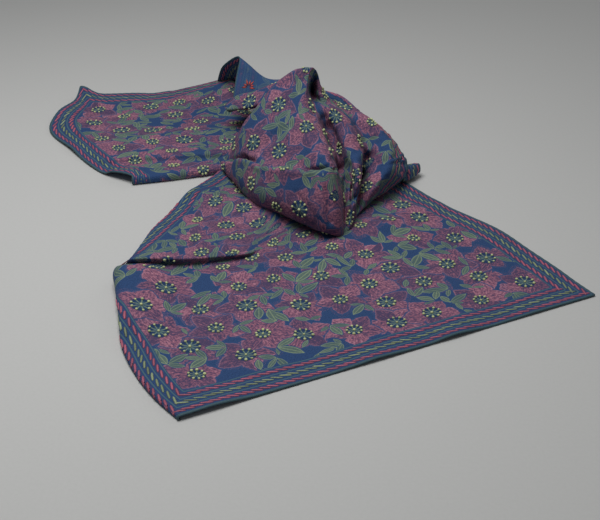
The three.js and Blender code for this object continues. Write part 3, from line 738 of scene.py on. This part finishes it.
def border_stitches(name, points, hems, side=1):
    """The slanting stitches along the hems of a stretch. Each hem is a field of the length along it, one of
    the distance from it, one of the distance from its other hems, how far apart the stitches are, and which
    way they slant. side is -1 where they lie on the inner side of the grid."""
    length, width = STITCH_LENGTH / 2, STITCH_WIDTH / 2
    stations = ((-0.6, 0.85), (0, 1), (0.6, 0.85))
    local = [(-length, 0, -0.1)]
    for a, wide in stations:
        local += [(a * length, b * width * wide, h) for b, h in ((-1, -0.15), (0, 0.8 * wide), (1, -0.15))]
    local = np.array(local + [(length, 0, -0.1)])
    round_it = ((1, 2), (2, 3), (3, 1))
    faces = [(0, b, a) for a, b in round_it] + [(10, a + 6, b + 6) for a, b in round_it]
    faces += [(a + i, b + i, b + i + 3, a + i + 3) for i in (0, 3) for a, b in round_it]
    chance = np.random.default_rng(22)
    every, tints = [], []
    for along, inward, others, pitch, slant in hems:
        fields = np.stack([along, inward], axis=-1)
        kept = inward < STITCH_REACH
        rows_kept, columns_kept = np.flatnonzero(kept.any(axis=1)), np.flatnonzero(kept.any(axis=0))
        cut = np.ix_(rows_kept, columns_kept)
        starts = np.arange(along[kept].min() + pitch, along[kept].max() - pitch / 2, pitch)
        for distance, kind in STITCH_ROWS:
            middles = starts + chance.uniform(-0.8, 0.8, len(starts))
            middles = np.stack([middles, np.full(len(starts), distance)], axis=-1)
            tilt = slant * STITCH_TILT + chance.uniform(-0.07, 0.07, len(starts))
            cos, sin = np.cos(tilt)[:, None], np.sin(tilt)[:, None]
            places = np.stack([
                middles[:, :1] + local[None, :, 0] * cos - local[None, :, 1] * sin,
                middles[:, 1:] + local[None, :, 0] * sin + local[None, :, 1] * cos,
            ], axis=-1)
            spots, normals, found = on_cloth(points[cut], fields[cut], places.reshape(-1, 2))
            lift = SILK_WALL / 2 + np.tile(local[:, 2], len(starts))[:, None]
            vertices = (spots + side * normals * lift).reshape(-1, len(local), 3)
            middle_spot, _, _ = on_cloth(np.dstack([others, others, others])[cut], fields[cut], middles)
            whole = found.reshape(-1, len(local)).all(axis=1) & (middle_spot[:, 0] > distance - 1)
            whole &= vertices[..., 2].min(axis=1) > CLEAR_OF_FLOOR
            every.append(vertices[whole])
            bright = chance.uniform(0.75, 1.15, (len(starts), 1))
            if kind == "green":
                bright = np.where(np.arange(len(starts))[:, None] % 2, 1.1, 0.85) * bright
            tints.append((np.array(ROPE[kind]) * bright)[whole])
    return sewn_shapes(name, np.concatenate(every), faces, np.concatenate(tints), silk_thread)


HEM_RADIUS, HEM_SIDES = 1.2, 8
HEM_TEAL = (0.045, 0.110, 0.120)


def tube_faces(rings, sides):
    """The faces of a tube whose points go round ring after ring, with a face over each end."""
    at = np.arange(rings - 1)[:, None] * sides + np.arange(sides)[None]
    following = np.arange(rings - 1)[:, None] * sides + (np.arange(sides)[None] + 1) % sides
    faces = np.stack([at, following, following + sides, at + sides], axis=-1).reshape(-1, 4).tolist()
    return faces + [list(range(sides - 1, -1, -1)), list(range(sides * (rings - 1), sides * rings))]


def rolled_hem(name, points, edges):
    """The narrow rolled hem along edges of a grid, each "first row", "last row", "first column" or "last
    column": a circle carried along the edge, closed at both ends."""
    turn = np.arange(HEM_SIDES) * 2 * math.pi / HEM_SIDES
    normal = normals_of(points)
    every, faces = [], []
    for edge in edges:
        path, inner, up = {
            "first row": (points[0], points[1], normal[0]),
            "last row": (points[-1], points[-2], normal[-1]),
            "first column": (points[:, 0], points[:, 1], normal[:, 0]),
            "last column": (points[:, -1], points[:, -2], normal[:, -1]),
        }[edge]
        outward = path - inner
        outward /= np.linalg.norm(outward, axis=1, keepdims=True)
        wave = HEM_RADIUS * (1 + 0.12 * np.sin(np.arange(len(path)) * 1.9))[:, None, None]
        circle = np.cos(turn)[None, :, None] * outward[:, None] + np.sin(turn)[None, :, None] * up[:, None]
        rings = path[:, None] + wave * circle
        rings[..., 2] = np.maximum(rings[..., 2], 0.05)
        if np.sum(np.cross(circle[0, 0], circle[0, 1]) * (path[1] - path[0])) < 0:
            rings = rings[:, ::-1]
        base = sum(len(part) for part in every)
        faces += [[base + corner for corner in face] for face in tube_faces(len(path), HEM_SIDES)]
        every.append(rings.reshape(-1, 3))
    return sewn_shapes(name, np.concatenate(every)[None], faces, np.array([HEM_TEAL]), silk_thread)


def declared(cloth, node, slot, sewing, **cut):
    """Hides the part of the model that a stretch of the shawl stands for. cloth, slot, sewing and cut are not
    used."""
    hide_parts(node)


near_u, near_v = near_flat[..., 0], near_flat[..., 1]
near_hems = (
    (near_u, near_v, np.minimum(near_u, WIDE - near_u), 11, -1),
    (near_v, near_u, near_v, 12.5, 1),
    (near_v, WIDE - near_u, near_v, 11, -1),
)
near_sewing = [
    knots("near_end_knots", near_points, near_flat),
    border_stitches("near_end_border", near_points, near_hems),
    rolled_hem("near_end_hem", near_points, ("first row", "first column", "last column")),
]
declared(
    near_end, "near_end", "kantha_face", near_sewing,
    flat=(0.56, 0.638), area=0.27, held="laid", rests_on=["floor"],
)

# The front of the heap: the same silk gathered from one point into pleats, with a roll across its belly, a
# crease above it, a hollow peak like a hood at the top and the right long hem down its right side. Nothing
# but its own weight holds it. Each row is one fold up the heap, as x, y, z at the tuck, foot, belly, roll,
# crease, waist, slope, neck, hood, crown, fall, behind.
GATHER_FOLDS = [
    (
        (-58, 200, 3.3), (-64, 198, 10), (-62, 200, 20), (-58, 202, 30), (-54, 202, 36), (-40, 200, 60),
        (-20, 194, 84), (4, 192, 106), (14, 194, 118), (26, 196, 124), (34, 208, 100), (38, 222, 66),
    ),
    (
        (-80, 154, 3.3), (-86, 152, 9), (-86, 150, 17), (-84, 150, 24), (-79, 150, 28), (-58, 146, 58),
        (-34, 146, 88), (-6, 152, 118), (8, 156, 134), (24, 160, 146), (32, 186, 112), (38, 222, 68),
    ),
    (
        (-88, 140, 3.3), (-95, 130, 7), (-97, 127, 14), (-94, 126, 21), (-86, 127, 25), (-64, 114, 76),
        (-43, 118, 107), (-16, 130, 138), (2, 134, 153), (22, 137, 162), (32, 168, 128), (40, 214, 70),
    ),
    (
        (-44, 45, 3.3), (-46, 12, 11), (-47, 2, 38), (-46, 24, 66), (-46, 42, 62), (-41, 56, 76),
        (-27, 84, 104), (-3, 110, 135), (11, 122, 150), (26, 130, 166), (36, 160, 130), (43, 210, 72),
    ),
    (
        (-16, 14, 3.3), (-15, -18, 11), (-14, -34, 40), (-10, -14, 77), (-9, 8, 70), (-7, 26, 81),
        (-3, 62, 107), (10, 100, 135), (19, 115, 151), (29, 127, 168), (39, 157, 131), (46, 208, 72),
    ),
    (
        (18, -8, 3.3), (20, -52, 16), (21, -66, 42), (24, -44, 85), (25, -16, 75), (24, 2, 87),
        (21, 46, 113), (24, 88, 137), (28, 108, 153), (34, 125, 170), (43, 155, 132), (50, 208, 72),
    ),
    (
        (52, -34, 3.3), (54, -78, 12), (55, -86, 40), (52, -62, 91), (53, -36, 82), (50, -18, 97),
        (39, 30, 114), (32, 76, 133), (34, 100, 151), (39, 122, 171), (47, 152, 133), (54, 206, 72),
    ),
    (
        (72, -54, 3.3), (77, -84, 9), (79, -80, 38), (71, -46, 88), (70, -22, 85), (65, 0, 96),
        (55, 44, 105), (45, 84, 122), (36, 106, 145), (45, 124, 170), (52, 150, 134), (58, 205, 72),
    ),
    (
        (84, -50, 3.3), (87, -72, 5), (88, -42, 16), (88, 14, 26), (87, 44, 36), (79, 68, 54),
        (65, 84, 84), (49, 98, 121), (42, 156, 120), (50, 134, 158), (56, 156, 126), (62, 204, 71),
    ),
    (
        (92, -44, 3.3), (93, -66, 8), (97, -48, 31), (103, -14, 50), (104, 8, 56), (98, 38, 70),
        (86, 72, 92), (68, 102, 115), (56, 118, 123), (55, 136, 140), (60, 160, 112), (67, 204, 68),
    ),
    (
        (98, -30, 3.3), (99, -50, 8), (103, -24, 26), (110, 2, 43), (112, 16, 51), (112, 44, 68),
        (103, 76, 91), (86, 108, 108), (72, 130, 113), (66, 150, 114), (68, 172, 94), (75, 205, 60),
    ),
    (
        (104, -14, 3.3), (104, -28, 5), (108, 4, 13), (116, 32, 24), (119, 46, 34), (124, 68, 52),
        (123, 96, 70), (103, 124, 91), (90, 146, 96), (84, 164, 96), (84, 184, 80), (84, 198, 54),
    ),
    (
        (120, 16, 3.3), (117, -2, 8), (130, 8, 25), (146, 22, 45), (153, 34, 54), (157, 56, 66),
        (152, 86, 76), (130, 122, 89), (116, 146, 92), (106, 166, 90), (102, 186, 72), (100, 200, 48),
    ),
    (
        (150, 60, 3.3), (143, 34, 10), (168, 56, 15), (185, 76, 25), (184, 88, 36), (176, 100, 49),
        (159, 117, 67), (136, 139, 79), (122, 158, 80), (114, 172, 78), (110, 190, 62), (108, 204, 42),
    ),
]


def patch(table, down_count, across_count):
    """A grid through the rows of a table of points: between the rows across it, and between the columns down
    it."""
    table = np.array(table, float)
    section = between(table, np.linspace(0, len(table) - 1, across_count))
    return between(section.swapaxes(0, 1), np.linspace(0, table.shape[1] - 1, down_count))


def unevened(points, waves):
    """The grid moved along its normals by soft unevenness, as rows of wavelength, height and seed."""
    down, across = lengths_along(points, 0), lengths_along(points, 1)
    move = sum(height * ripples(across, down, wavelength, seed) for wavelength, height, seed in waves)
    moved = points + normals_of(points) * move[..., None]
    moved[..., 2] = np.maximum(moved[..., 2], points[..., 2].clip(max=SILK_WALL / 2))
    return moved


# The creases: x, y, z at both ends, depth, half width. A soft ridge runs along each side.
GATHER_CREASES = [
    (-91, 114, 25, -57, 66, 54, 8, 4.5),
    (-57, 66, 54, -31, 7, 74, 10, 4.5),
    (-31, 7, 74, 13, -23, 80, 14, 4),
    (13, -23, 80, 35, -37, 86, 14, 4),
    (35, -37, 86, 73, -34, 86, 12, 4),
    (-45, 50, 72, 11, 53, 111, 4, 7),
    (-70, 118, 70, -20, 118, 108, 2, 6),
    (78, 62, 74, 63, 88, 107, 8, 7),
    (60, -66, 70, 66, -84, 30, 5, 5),
    (20, 150, 146, 4, 110, 120, 4, 7),
    (112, 96, 96, 128, 60, 72, 5, 8),
    (20, -62, 60, 48, -80, 30, 3, 6),
]
# The deep hollows between the bundles and under the belly, in rows of the same kind, pressed back and down.
GATHER_HOLLOWS = [
    (83, 22, 62, 93, -12, 54, 54, 10),
    (126, 66, 56, 113, 46, 38, 24, 8),
    (113, 46, 38, 98, -28, 40, 40, 8),
    (68, 84, 96, 70, 40, 80, 8, 8),
    (-4, -48, 20, 38, -72, 8, 16, 12),
    (97, -34, 40, 90, -58, 22, 12, 6),
]


def creased(points, creases, outward=None):
    """The grid pressed in along straight creases, against its normals or one outward direction: a bell by
    the distance from each crease line, faded past its ends, less a third of a bell twice as wide, which
    leaves a ridge along each side. Of the part of the distance that runs from the front to the back of the
    heap, a quarter counts."""
    outward = normals_of(points) if outward is None else np.array(outward)
    front = np.array((0, -0.85, 0.53))
    moved = points.copy()
    for crease in creases:
        start, end, (depth, wide) = np.array(crease[:3], float), np.array(crease[3:6], float), crease[6:]
        along = np.clip(((points - start) @ (end - start)) / np.sum((end - start) ** 2), 0, 1)
        away = points - start - along[..., None] * (end - start)
        away = np.linalg.norm(away - 0.75 * (away @ front)[..., None] * front, axis=-1) / wide
        press = depth * (np.exp(-(away**2)) - 0.33 * np.exp(-((away / 2) ** 2)))
        moved -= outward * press[..., None]
    moved[..., 2] = np.maximum(moved[..., 2], points[..., 2].clip(max=SILK_WALL / 2))
    return moved


gather_points = creased(patch(GATHER_FOLDS, 161, 169), GATHER_CREASES)
gather_points = creased(gather_points, GATHER_HOLLOWS, (0, -0.8, 0.6))
gather_points = unevened(gather_points, ((60, 2.2, 31), (28, 0.7, 32)))
GATHER_CLOTH, GATHER_START = 480, 640
gather_share = lengths_along(gather_points, 1)
gather_u = WIDE - GATHER_CLOTH * (1 - gather_share / gather_share[:, -1:])
gather_v = GATHER_START + lengths_along(gather_points, 0).mean(axis=1, keepdims=True) + 0 * gather_u
gather_flat = np.stack([gather_u, gather_v], axis=-1)


def right_hem_held(flat):
    """The front of the heap keeps its right hem."""
    flat[:, -1, 0] = WIDE


facing_front = normals_of(gather_points) @ (0, -0.85, 0.53)
gather_give = np.clip((facing_front - 0.1) / 0.3, 0.02, 1)
gather_flat = flattened(gather_points, gather_flat, right_hem_held, gather_give)
gather_v, from_right = gather_flat[..., 1], WIDE - gather_flat[..., 0]
gathered_front = silk_sheet("gathered_front_cloth", gather_points, gather_flat, FACE_UP, from_right)
gather_hem = (gather_v, from_right, NO_OTHER_HEM + 0 * gather_v, 11.5, 1)
gather_sewing = [
    knots("gathered_front_knots", gather_points, gather_flat),
    border_stitches("gathered_front_border", gather_points, (gather_hem,)),
    rolled_hem("gathered_front_hem", gather_points, ("last column",)),
]
declared(
    gathered_front, "gathered_front", "kantha_face", gather_sewing,
    flat=(0.56, 0.36), area=0.13, held="gathered", rests_on=["near_end_cloth"],
)

# The small loop of the right hem that sticks out from under the heap: the same silk with its border and its
# rolled hem, held by what lies on it. Each row is a place along it: under, front, top, back.
LOOP_START = 900
HEM_LOOP = [
    ((172, 96, 3.3), (180, 76, 9), (180, 86, 24), (172, 100, 18)),
    ((190, 104, 3.3), (197, 92, 8), (197, 98, 25), (188, 112, 18)),
    ((203, 114, 5), (208, 106, 10), (207, 111, 20), (200, 120, 14)),
]
loop_points = patch(HEM_LOOP, 44, 30)
loop_hem = lengths_along(loop_points[:, ::-1], 1)[:, ::-1]
loop_v = LOOP_START + lengths_along(loop_points, 0)
loop_flat = np.stack([WIDE - loop_hem, loop_v], axis=-1)
hem_loop = silk_sheet("hem_loop_cloth", loop_points, loop_flat, FACE_UP, loop_hem)
loop_sewing = [
    border_stitches("hem_loop_border", loop_points, ((loop_v, loop_hem, NO_OTHER_HEM + 0 * loop_v, 11, 1),)),
    rolled_hem("hem_loop_hem", loop_points, ("last column",)),
]
declared(
    hem_loop, "hem_loop", "kantha_face", loop_sewing,
    flat=(0.04, 0.06), held="gathered", rests_on=["near_end_cloth"],
)

# The far end: the same silk laid out to the left behind the heap, with hems at its end and its back. Its
# front edge is turned under, and its own weight holds it.
# Each row is a strand along the shawl: from the back hem, then x, y at the end hem, half way and at the heap.
FAR_STRANDS = [
    (0, -368, 423, -235, 428, -102, 410),
    (139, -396, 287, -250, 322, -62, 345),
    (244, -342, 197, -225, 240, -38, 262),
    (338, -285, 122, -200, 160, -44, 194),
    (405, -228, 84, -170, 98, -84, 124),
]
FAR_FOLDS = [
    (-270, 165, -60, 170, 6, 16, 12, 45, 10, 0.25),
    (-300, 205, -60, 262, 4, 14, 22, 40, 4, 0.3),
    (-200, 430, -90, 400, 6, 40, 60, 60, 0, 0.4),
    (-372, 436, -345, 400, 22, 4, 16, 16, 0, 0.7),
    (-375, 330, -330, 220, 7, 3, 26, 26, 0, 0.6),
    (-262, 104, -228, 100, 5, 5, 14, 22, 0, 0.5),
]
FAR_FRONT, FAR_EDGE_ROLL, FAR_TURNED_UNDER, FAR_RISING = 405, 5, 96, 70
far_bands = ((0, 385, 113), (385, 430, 26), (430, 501, 16))
far_across = np.concatenate([*(np.linspace(*band)[:-1] for band in far_bands), [501.0]])
far_along = np.linspace(0, 1, 81)
strand_starts = [row[0] for row in FAR_STRANDS]
strand_places = np.interp(np.minimum(far_across, FAR_FRONT), strand_starts, np.arange(len(FAR_STRANDS)))
strands = between(FAR_STRANDS, strand_places)[:, 1:].reshape(-1, 3, 2)
x, y = np.moveaxis(between(strands.swapaxes(0, 1), 2 * far_along), -1, 0)
up, dx, dy = raised(FAR_FOLDS, x, y)
up = up + (1 + ripples(x, y, 90, 41)) * 1.6 + (1 + ripples(x, y, 34, 42)) * 0.4
past = np.maximum(far_across - FAR_FRONT, 0)[None]
angle = np.minimum(past / FAR_EDGE_ROLL, math.pi)
on_top = far_across[None] <= FAR_FRONT
rise = 2 * FAR_EDGE_ROLL * soft_step((far_across[None] - FAR_FRONT + FAR_RISING) / FAR_RISING)
turned = FAR_EDGE_ROLL * (1 + np.cos(angle)) + up * (1 - angle / math.pi)
far_points = np.stack([
    x + dx,
    y + dy - FAR_EDGE_ROLL * np.sin(angle) + np.maximum(past - math.pi * FAR_EDGE_ROLL, 0),
    SILK_WALL / 2 + np.where(on_top, up + rise, turned),
], axis=-1)
far_u = np.broadcast_to(far_across[None], x.shape) + 0.0
far_v = LONG - lengths_along(far_points, 0)
far_flat = np.stack([far_u, far_v], axis=-1)


def far_hems_held(flat):
    """The far end keeps its back hem and its end hem."""
    flat[:, 0, 0], flat[0, :, 1] = 0, LONG


far_flat = flattened(far_points, far_flat, far_hems_held)
far_u, far_v = far_flat[..., 0], far_flat[..., 1]
far_reach = from_hems(far_flat, right=False, near=False)
far_end = silk_sheet("far_end_cloth", far_points, far_flat, FACE_UP, far_reach)
far_hems = (
    (far_u, LONG - far_v, far_u, 12, -1),
    (far_v, far_u, LONG - far_v, 12, -1),
)
far_sewing = [
    knots("far_end_knots", far_points, far_flat),
    border_stitches("far_end_border", far_points, far_hems),
    rolled_hem("far_end_hem", far_points, ("first row", "first column")),
]
declared(
    far_end, "far_end", "kantha_face", far_sewing,
    flat=(0.501, 0.27), held="folded", rests_on=["floor"],
)

# The fold that comes out to the left behind the gathered front, over a dark hollow: a soft ridge of the
# same silk. Each row is one section, from its closed end inwards: behind, shoulder, crest, lip, under.
SIDE_FOLD = [
    ((-90, 282, 38), (-95, 274, 47), (-96, 260, 54), (-94, 242, 53), (-90, 252, 44)),
    ((-78, 288, 46), (-78, 275, 60), (-76, 258, 70), (-72, 232, 60), (-69, 246, 52)),
    ((-54, 284, 52), (-53, 269, 68), (-50, 250, 79), (-52, 222, 68), (-48, 238, 59)),
    ((-26, 278, 56), (-25, 262, 80), (-22, 243, 95), (-24, 213, 84), (-22, 229, 72)),
    ((2, 266, 58), (3, 249, 86), (4, 231, 104), (2, 205, 93), (3, 219, 80)),
    ((28, 248, 58), (29, 233, 80), (30, 218, 94), (28, 200, 86), (28, 209, 74)),
]
side_points = unevened(patch(SIDE_FOLD, 57, 57)[::-1], ((45, 1.2, 51),))
SIDE_START = np.array((150, 1180))
side_flat = SIDE_START + np.stack([lengths_along(side_points, 1), lengths_along(side_points, 0)], axis=-1)
side_flat = flattened(side_points, side_flat, lambda flat: None)
side_fold = silk_sheet("side_fold_cloth", side_points, side_flat, FACE_UP, from_hems(side_flat))
side_sewing = [knots("side_fold_knots", side_points, side_flat)]
declared(
    side_fold, "side_fold", "kantha_face", side_sewing,
    flat=(0.14, 0.11), held="folded", rests_on=["inner_layers"],
)

# The back of the heap: a tent of the silk with its reverse outside, from an open peak on the left to the
# back hem on the right. Each row is one section, from left to right: inside, up the near wall, ridge, down
# the far wall, foot, hem.
BACK_FOLDS = [
    ((-88, 290, 40), (-81, 317, 77), (-77, 341, 105), (-106, 373, 77), (-118, 399, 43), (-120, 414, 26)),
    ((-68, 288, 46), (-64, 311, 78), (-58, 330, 93), (-68, 370, 64), (-80, 410, 24), (-86, 430, 3)),
    ((-40, 282, 48), (-38, 298, 67), (-33, 316, 78), (-30, 348, 52), (-28, 380, 12), (-28, 392, 3)),
    ((-12, 276, 50), (-12, 291, 68), (-9, 306, 77), (2, 350, 56), (10, 394, 18), (12, 414, 3)),
    ((20, 258, 52), (21, 272, 70), (24, 287, 80), (30, 314, 48), (34, 338, 10), (36, 350, 3)),
    ((60, 242, 52), (61, 252, 66), (62, 263, 77), (74, 296, 50), (86, 322, 15), (92, 336, 3)),
    ((88, 228, 48), (91, 237, 61), (95, 247, 72), (106, 264, 40), (114, 278, 9), (118, 288, 3)),
    ((112, 206, 42), (117, 211, 50), (122, 218, 57), (136, 230, 36), (150, 240, 11), (157, 246, 3)),
    ((134, 182, 26), (140, 183, 31), (146, 187, 34), (158, 190, 18), (167, 192, 6), (172, 194, 3)),
]
# On the right the rim of the cloth shows along the ridge. It starts some way from the opening and runs a
# little behind the grid row nearest to the ridge, and its border lies on the near wall.
BACK_START, RIDGE_ROW = 1300, 35
RIM_START, RIM_BEHIND_RIDGE, BORDER_BEHIND_RIDGE = 165, 3.5, 3
back_points = unevened(patch(BACK_FOLDS, 89, 121), ((60, 1.6, 61), (26, 0.5, 62)))
back_along = lengths_along(back_points, 1)
back_hem = lengths_along(back_points[::-1], 0)[::-1]
opening_length = lengths_along(back_points, 0)
back_flat = np.stack([back_along, BACK_START + opening_length], axis=-1)
below_ridge = opening_length[RIDGE_ROW] - opening_length
from_rim = below_ridge + RIM_BEHIND_RIDGE
on_rim = (back_along > RIM_START) & (below_ridge > -BORDER_BEHIND_RIDGE)
back_reach = np.minimum(np.minimum(back_along, back_hem), np.where(on_rim, from_rim, 999))
back_folds = silk_sheet("back_folds_cloth", back_points, back_flat, FACE_UP[::-1], back_reach)
rim = (back_along, from_rim, back_along - RIM_START, 9, 1)
opening = (opening_length, back_along, back_hem, 12, 1)
back_sewing = [
    border_stitches("back_folds_rim", back_points, (rim,)),
    border_stitches("back_folds_inner_border", back_points, (opening,), -1),
    border_stitches("back_folds_border", back_points, ((back_along, back_hem, back_along, 12, 1),)),
    rolled_hem("back_folds_hem", back_points, ("first column", "last row")),
]

# A small spray of seven orange-red stitches of silk thread, sewn on the outside of the left peak. Each row
# is one stitch: its turn, its length and how far its middle is from the spray's foot.
SPRAY_FOOT, SPRAY_ORANGE = (24, 24), (0.800, 0.110, 0.050)
SPRAY = [(-80, 11, 7), (-50, 10, 7), (-20, 14, 9), (8, 12, 8), (35, 14, 9), (62, 10, 7), (95, 12, 7)]
turns, spray_lengths, reaches = (np.array(column, float)[:, None] for column in zip(*SPRAY))
lens = np.array([(-0.5, 0, 0), (0, -1.9, 0), (0.5, 0, 0), (0, 1.9, 0), (0, 0, 1.1), (0, 0, -0.2)])
outward, sideways = reaches + spray_lengths * lens[None, :, 0], lens[None, :, 1]
cos, sin = np.cos(np.radians(turns)), np.sin(np.radians(turns))
spray_places = np.stack([outward * cos - sideways * sin, outward * sin + sideways * cos], axis=-1)
spray_places = spray_places + SPRAY_FOOT
peak_places = np.stack([opening_length, back_along], axis=-1)
spots, normals, _ = on_cloth(back_points, peak_places, spray_places.reshape(-1, 2))
spray_lift = SILK_WALL / 2 + np.tile(lens[:, 2], len(SPRAY))[:, None]
spray_vertices = (spots + normals * spray_lift).reshape(len(SPRAY), len(lens), 3)
spray_faces = [(0, 1, 4), (1, 2, 4), (2, 3, 4), (3, 0, 4), (1, 0, 5), (2, 1, 5), (3, 2, 5), (0, 3, 5)]
spray_tints = np.array(SPRAY_ORANGE) * np.linspace(0.8, 1.1, len(SPRAY))[:, None]
back_sewing.append(sewn_shapes("back_folds_spray", spray_vertices, spray_faces, spray_tints, silk_thread))
declared(
    back_folds, "back_folds", "kantha_reverse", back_sewing,
    flat=(0.38, 0.22), area=0.05, held="gathered", rests_on=["inner_layers", "floor"],
)

# The layers hidden inside the heap: the same silk lying folded in a rounded stack, with a notch round it
# at each fold.
STACK_MIDDLE, STACK_HALF, STACK_HIGH, STACK_LAYERS = (18, 162), (84, 158), 56, 4
STACK_RINGS, STACK_SIDES = 60, 120
level = np.linspace(0, 1, STACK_RINGS)[:, None]
around = np.linspace(0, 2 * math.pi, STACK_SIDES + 1)[None, :-1]
swell = 1 - 0.05 * (1 - np.abs(np.sin(math.pi * STACK_LAYERS * level)) ** 0.5) - 0.45 * level**2
swell = swell * (1 - 0.02 * (1 + np.sin(5 * around + 9 * level)))
stack_points = np.stack([
    STACK_MIDDLE[0] + STACK_HALF[0] * swell * np.cos(around),
    STACK_MIDDLE[1] + STACK_HALF[1] * swell * np.sin(around),
    3 + STACK_HIGH * level + 0 * around,
], axis=-1).reshape(-1, 3)
stack_finish, start, shader = new_finish("kantha_inner")
where = start.node("ShaderNodeTexCoord", {}, {}, 3)
patches = start.speckle(where, 40).past(0.5, 0.08)
start.speckle(where, 700).colour(patches.colour(NAVY_DARK, MAUVE), NAVY_DARK).into(shader, "Base Color")
start.speckle(where, 500).raises(shader, 0.5, 0.0006)
shader.inputs["Roughness"].default_value = 0.85
stack_faces = tube_faces(STACK_RINGS, STACK_SIDES)
stack_tint = np.array([[1, 1, 1]])
inner_layers = sewn_shapes("inner_layers_stack", stack_points[None], stack_faces, stack_tint, stack_finish)
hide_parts("inner_layers")
